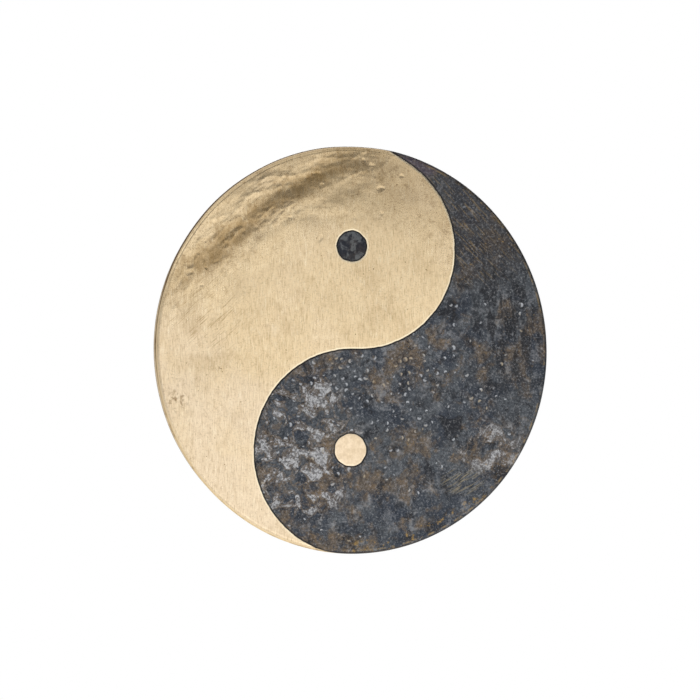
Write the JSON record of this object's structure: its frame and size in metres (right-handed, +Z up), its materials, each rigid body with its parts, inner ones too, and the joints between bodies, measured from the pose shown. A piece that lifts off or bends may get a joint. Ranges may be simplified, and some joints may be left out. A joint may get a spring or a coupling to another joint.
{
  "type": "tam-tam gong",
  "caption": "Round hammered bronze gong with a turned-back rim, a polished and a black-scaled half, and suspension holes in the rim.",
  "frame": {"origin": "middle of the whole gong: on the disc's axis, halfway between the struck face and the rim's back edge", "axes": "+Z up as it hangs, the disc's axis along Y, struck face towards -Y, rim turned back towards +Y, +X to the viewer's right"},
  "size_m": [0.4, 0.024, 0.4],
  "materials": {
    "bronze": "hand-hammered, brushed satin",
    "black_scale": "blue-black heat scale, mottled",
    "brown_scale": "thin brown heat scale"
  },
  "bodies": {
    "root": {"gong_plate": "bronze", "dark_field": "black_scale", "dark_dot": "black_scale", "rim_scale": "brown_scale", "back_scale": "black_scale"}
  },
  "joints": []
}
